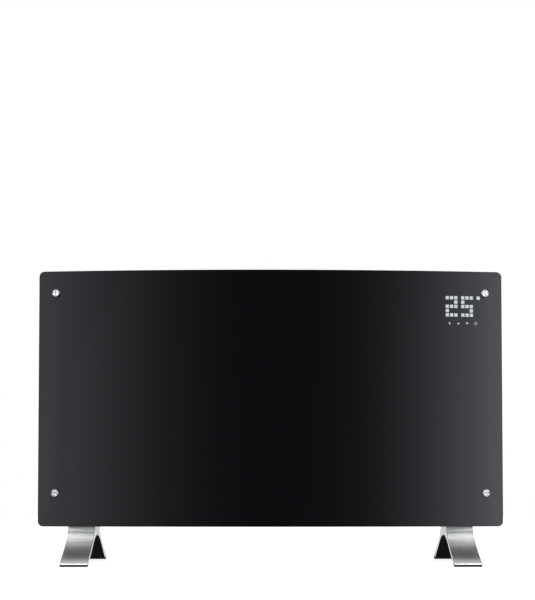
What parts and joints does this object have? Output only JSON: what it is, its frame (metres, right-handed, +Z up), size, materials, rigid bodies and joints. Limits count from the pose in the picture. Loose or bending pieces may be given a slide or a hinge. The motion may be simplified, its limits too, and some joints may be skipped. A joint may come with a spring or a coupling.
{
  "type": "glass convector heater",
  "caption": "Free-standing convector heater with a bowed black glass front held by round corner caps, a lit display with touch keys, a slim steel casing with grilles and flared aluminium feet.",
  "frame": {"origin": "on the floor, midway between the feet and midway between their toes", "axes": "+X to the right as seen from the front, the glass faces -Y, +Z up"},
  "size_m": [0.7998, 0.21, 0.504],
  "materials": {
    "glass_black": "gloss black glass, printed behind",
    "cap_metal": "spun and polished",
    "nylon": "natural nylon",
    "post_steel": "turned, zinc plated",
    "casing_paint": "black fine-texture powder coat",
    "end_plastic": "moulded black",
    "grille_plastic": "moulded black, heat resisting",
    "screw_steel": "black zinc",
    "plated_screw": "zinc plated",
    "foot_aluminium": "brushed along the leg",
    "pad_rubber": "soft black rubber",
    "element_aluminium": "extruded, slit wings",
    "core_steel": "sheathed core",
    "ceramic_white": "steatite",
    "zinc_sheet": "galvanised sheet",
    "cutout_resin": "phenolic",
    "terminal_brass": "stamped",
    "board_laminate": "green laminate",
    "relay_plastic": "blue case",
    "coil_tape": "taped winding",
    "can_sleeve": "sleeved can",
    "block_nylon": "natural nylon",
    "mask_plastic": "moulded black",
    "tile_light": "milky, lit from behind",
    "touch_foam": "conducting foam",
    "sensor_resin": "dipped bead",
    "pin_steel": "ground",
    "weight_brass": "turned",
    "gate_plastic": "moulded",
    "switch_plastic": "moulded black",
    "gland_plastic": "moulded black"
  },
  "bodies": {
    "heater": {"air_sensor": "sensor_resin", "board_screws": "plated_screw", "board_spacers": "plated_screw", "capacitor": "can_sleeve", "ceramic_bushes": "ceramic_white", "cord_gland": "gland_plastic", "cutout_terminals": "terminal_brass", "display_board": "board_laminate", "display_mask": "mask_plastic", "display_screws": "plated_screw", "element_bracket": "zinc_sheet", "element_core_lower": "core_steel", "element_core_upper": "core_steel", "element_fins_lower": "element_aluminium", "element_fins_upper": "element_aluminium", "end_cap_left": "end_plastic", "end_cap_right": "end_plastic", "end_cap_screws": "screw_steel", "foot_left": "foot_aluminium", "foot_nut_plates": "plated_screw", "foot_pads_left": "pad_rubber", "foot_pads_right": "pad_rubber", "foot_right": "foot_aluminium", "foot_screws": "plated_screw", "front_housing": "casing_paint", "gland_nut": "gland_plastic", "glass_bushes": "nylon", "glass_caps": "cap_metal", "glass_panel": "glass_black", "glass_washers": "nylon", "housing_screws": "screw_steel", "inlet_grille": "grille_plastic", "light_tiles": "tile_light", "outlet_grille": "grille_plastic", "partition": "zinc_sheet", "post_nuts": "post_steel", "power_board": "board_laminate", "rear_cover": "casing_paint", "relays": "relay_plastic", "sensor_clip": "zinc_sheet", "standoff_posts": "post_steel", "switch_bezel": "switch_plastic", "switch_terminals": "terminal_brass", "terminal_block": "block_nylon", "thermal_cutout": "cutout_resin", "tilt_bracket": "mask_plastic", "tilt_light_gate": "gate_plastic", "tilt_pin": "pin_steel", "touch_pads": "touch_foam", "transformer": "coil_tape"},
    "rocker": {"switch_rocker": "switch_plastic"},
    "pendulum": {"tilt_pendulum": "weight_brass"}
  },
  "joints": [
    {"name": "switch_tip", "type": "hinge", "parent": "heater", "child": "rocker", "pos_m": [0.382, 0.015, 0.19], "axis": [0, 1, 0], "range_deg": [-16, 0]},
    {"name": "pendulum_swing", "type": "hinge", "parent": "heater", "child": "pendulum", "pos_m": [0.2712, 0.013, 0.13], "axis": [1, 0, 0], "range_deg": [-20, 20]}
  ]
}
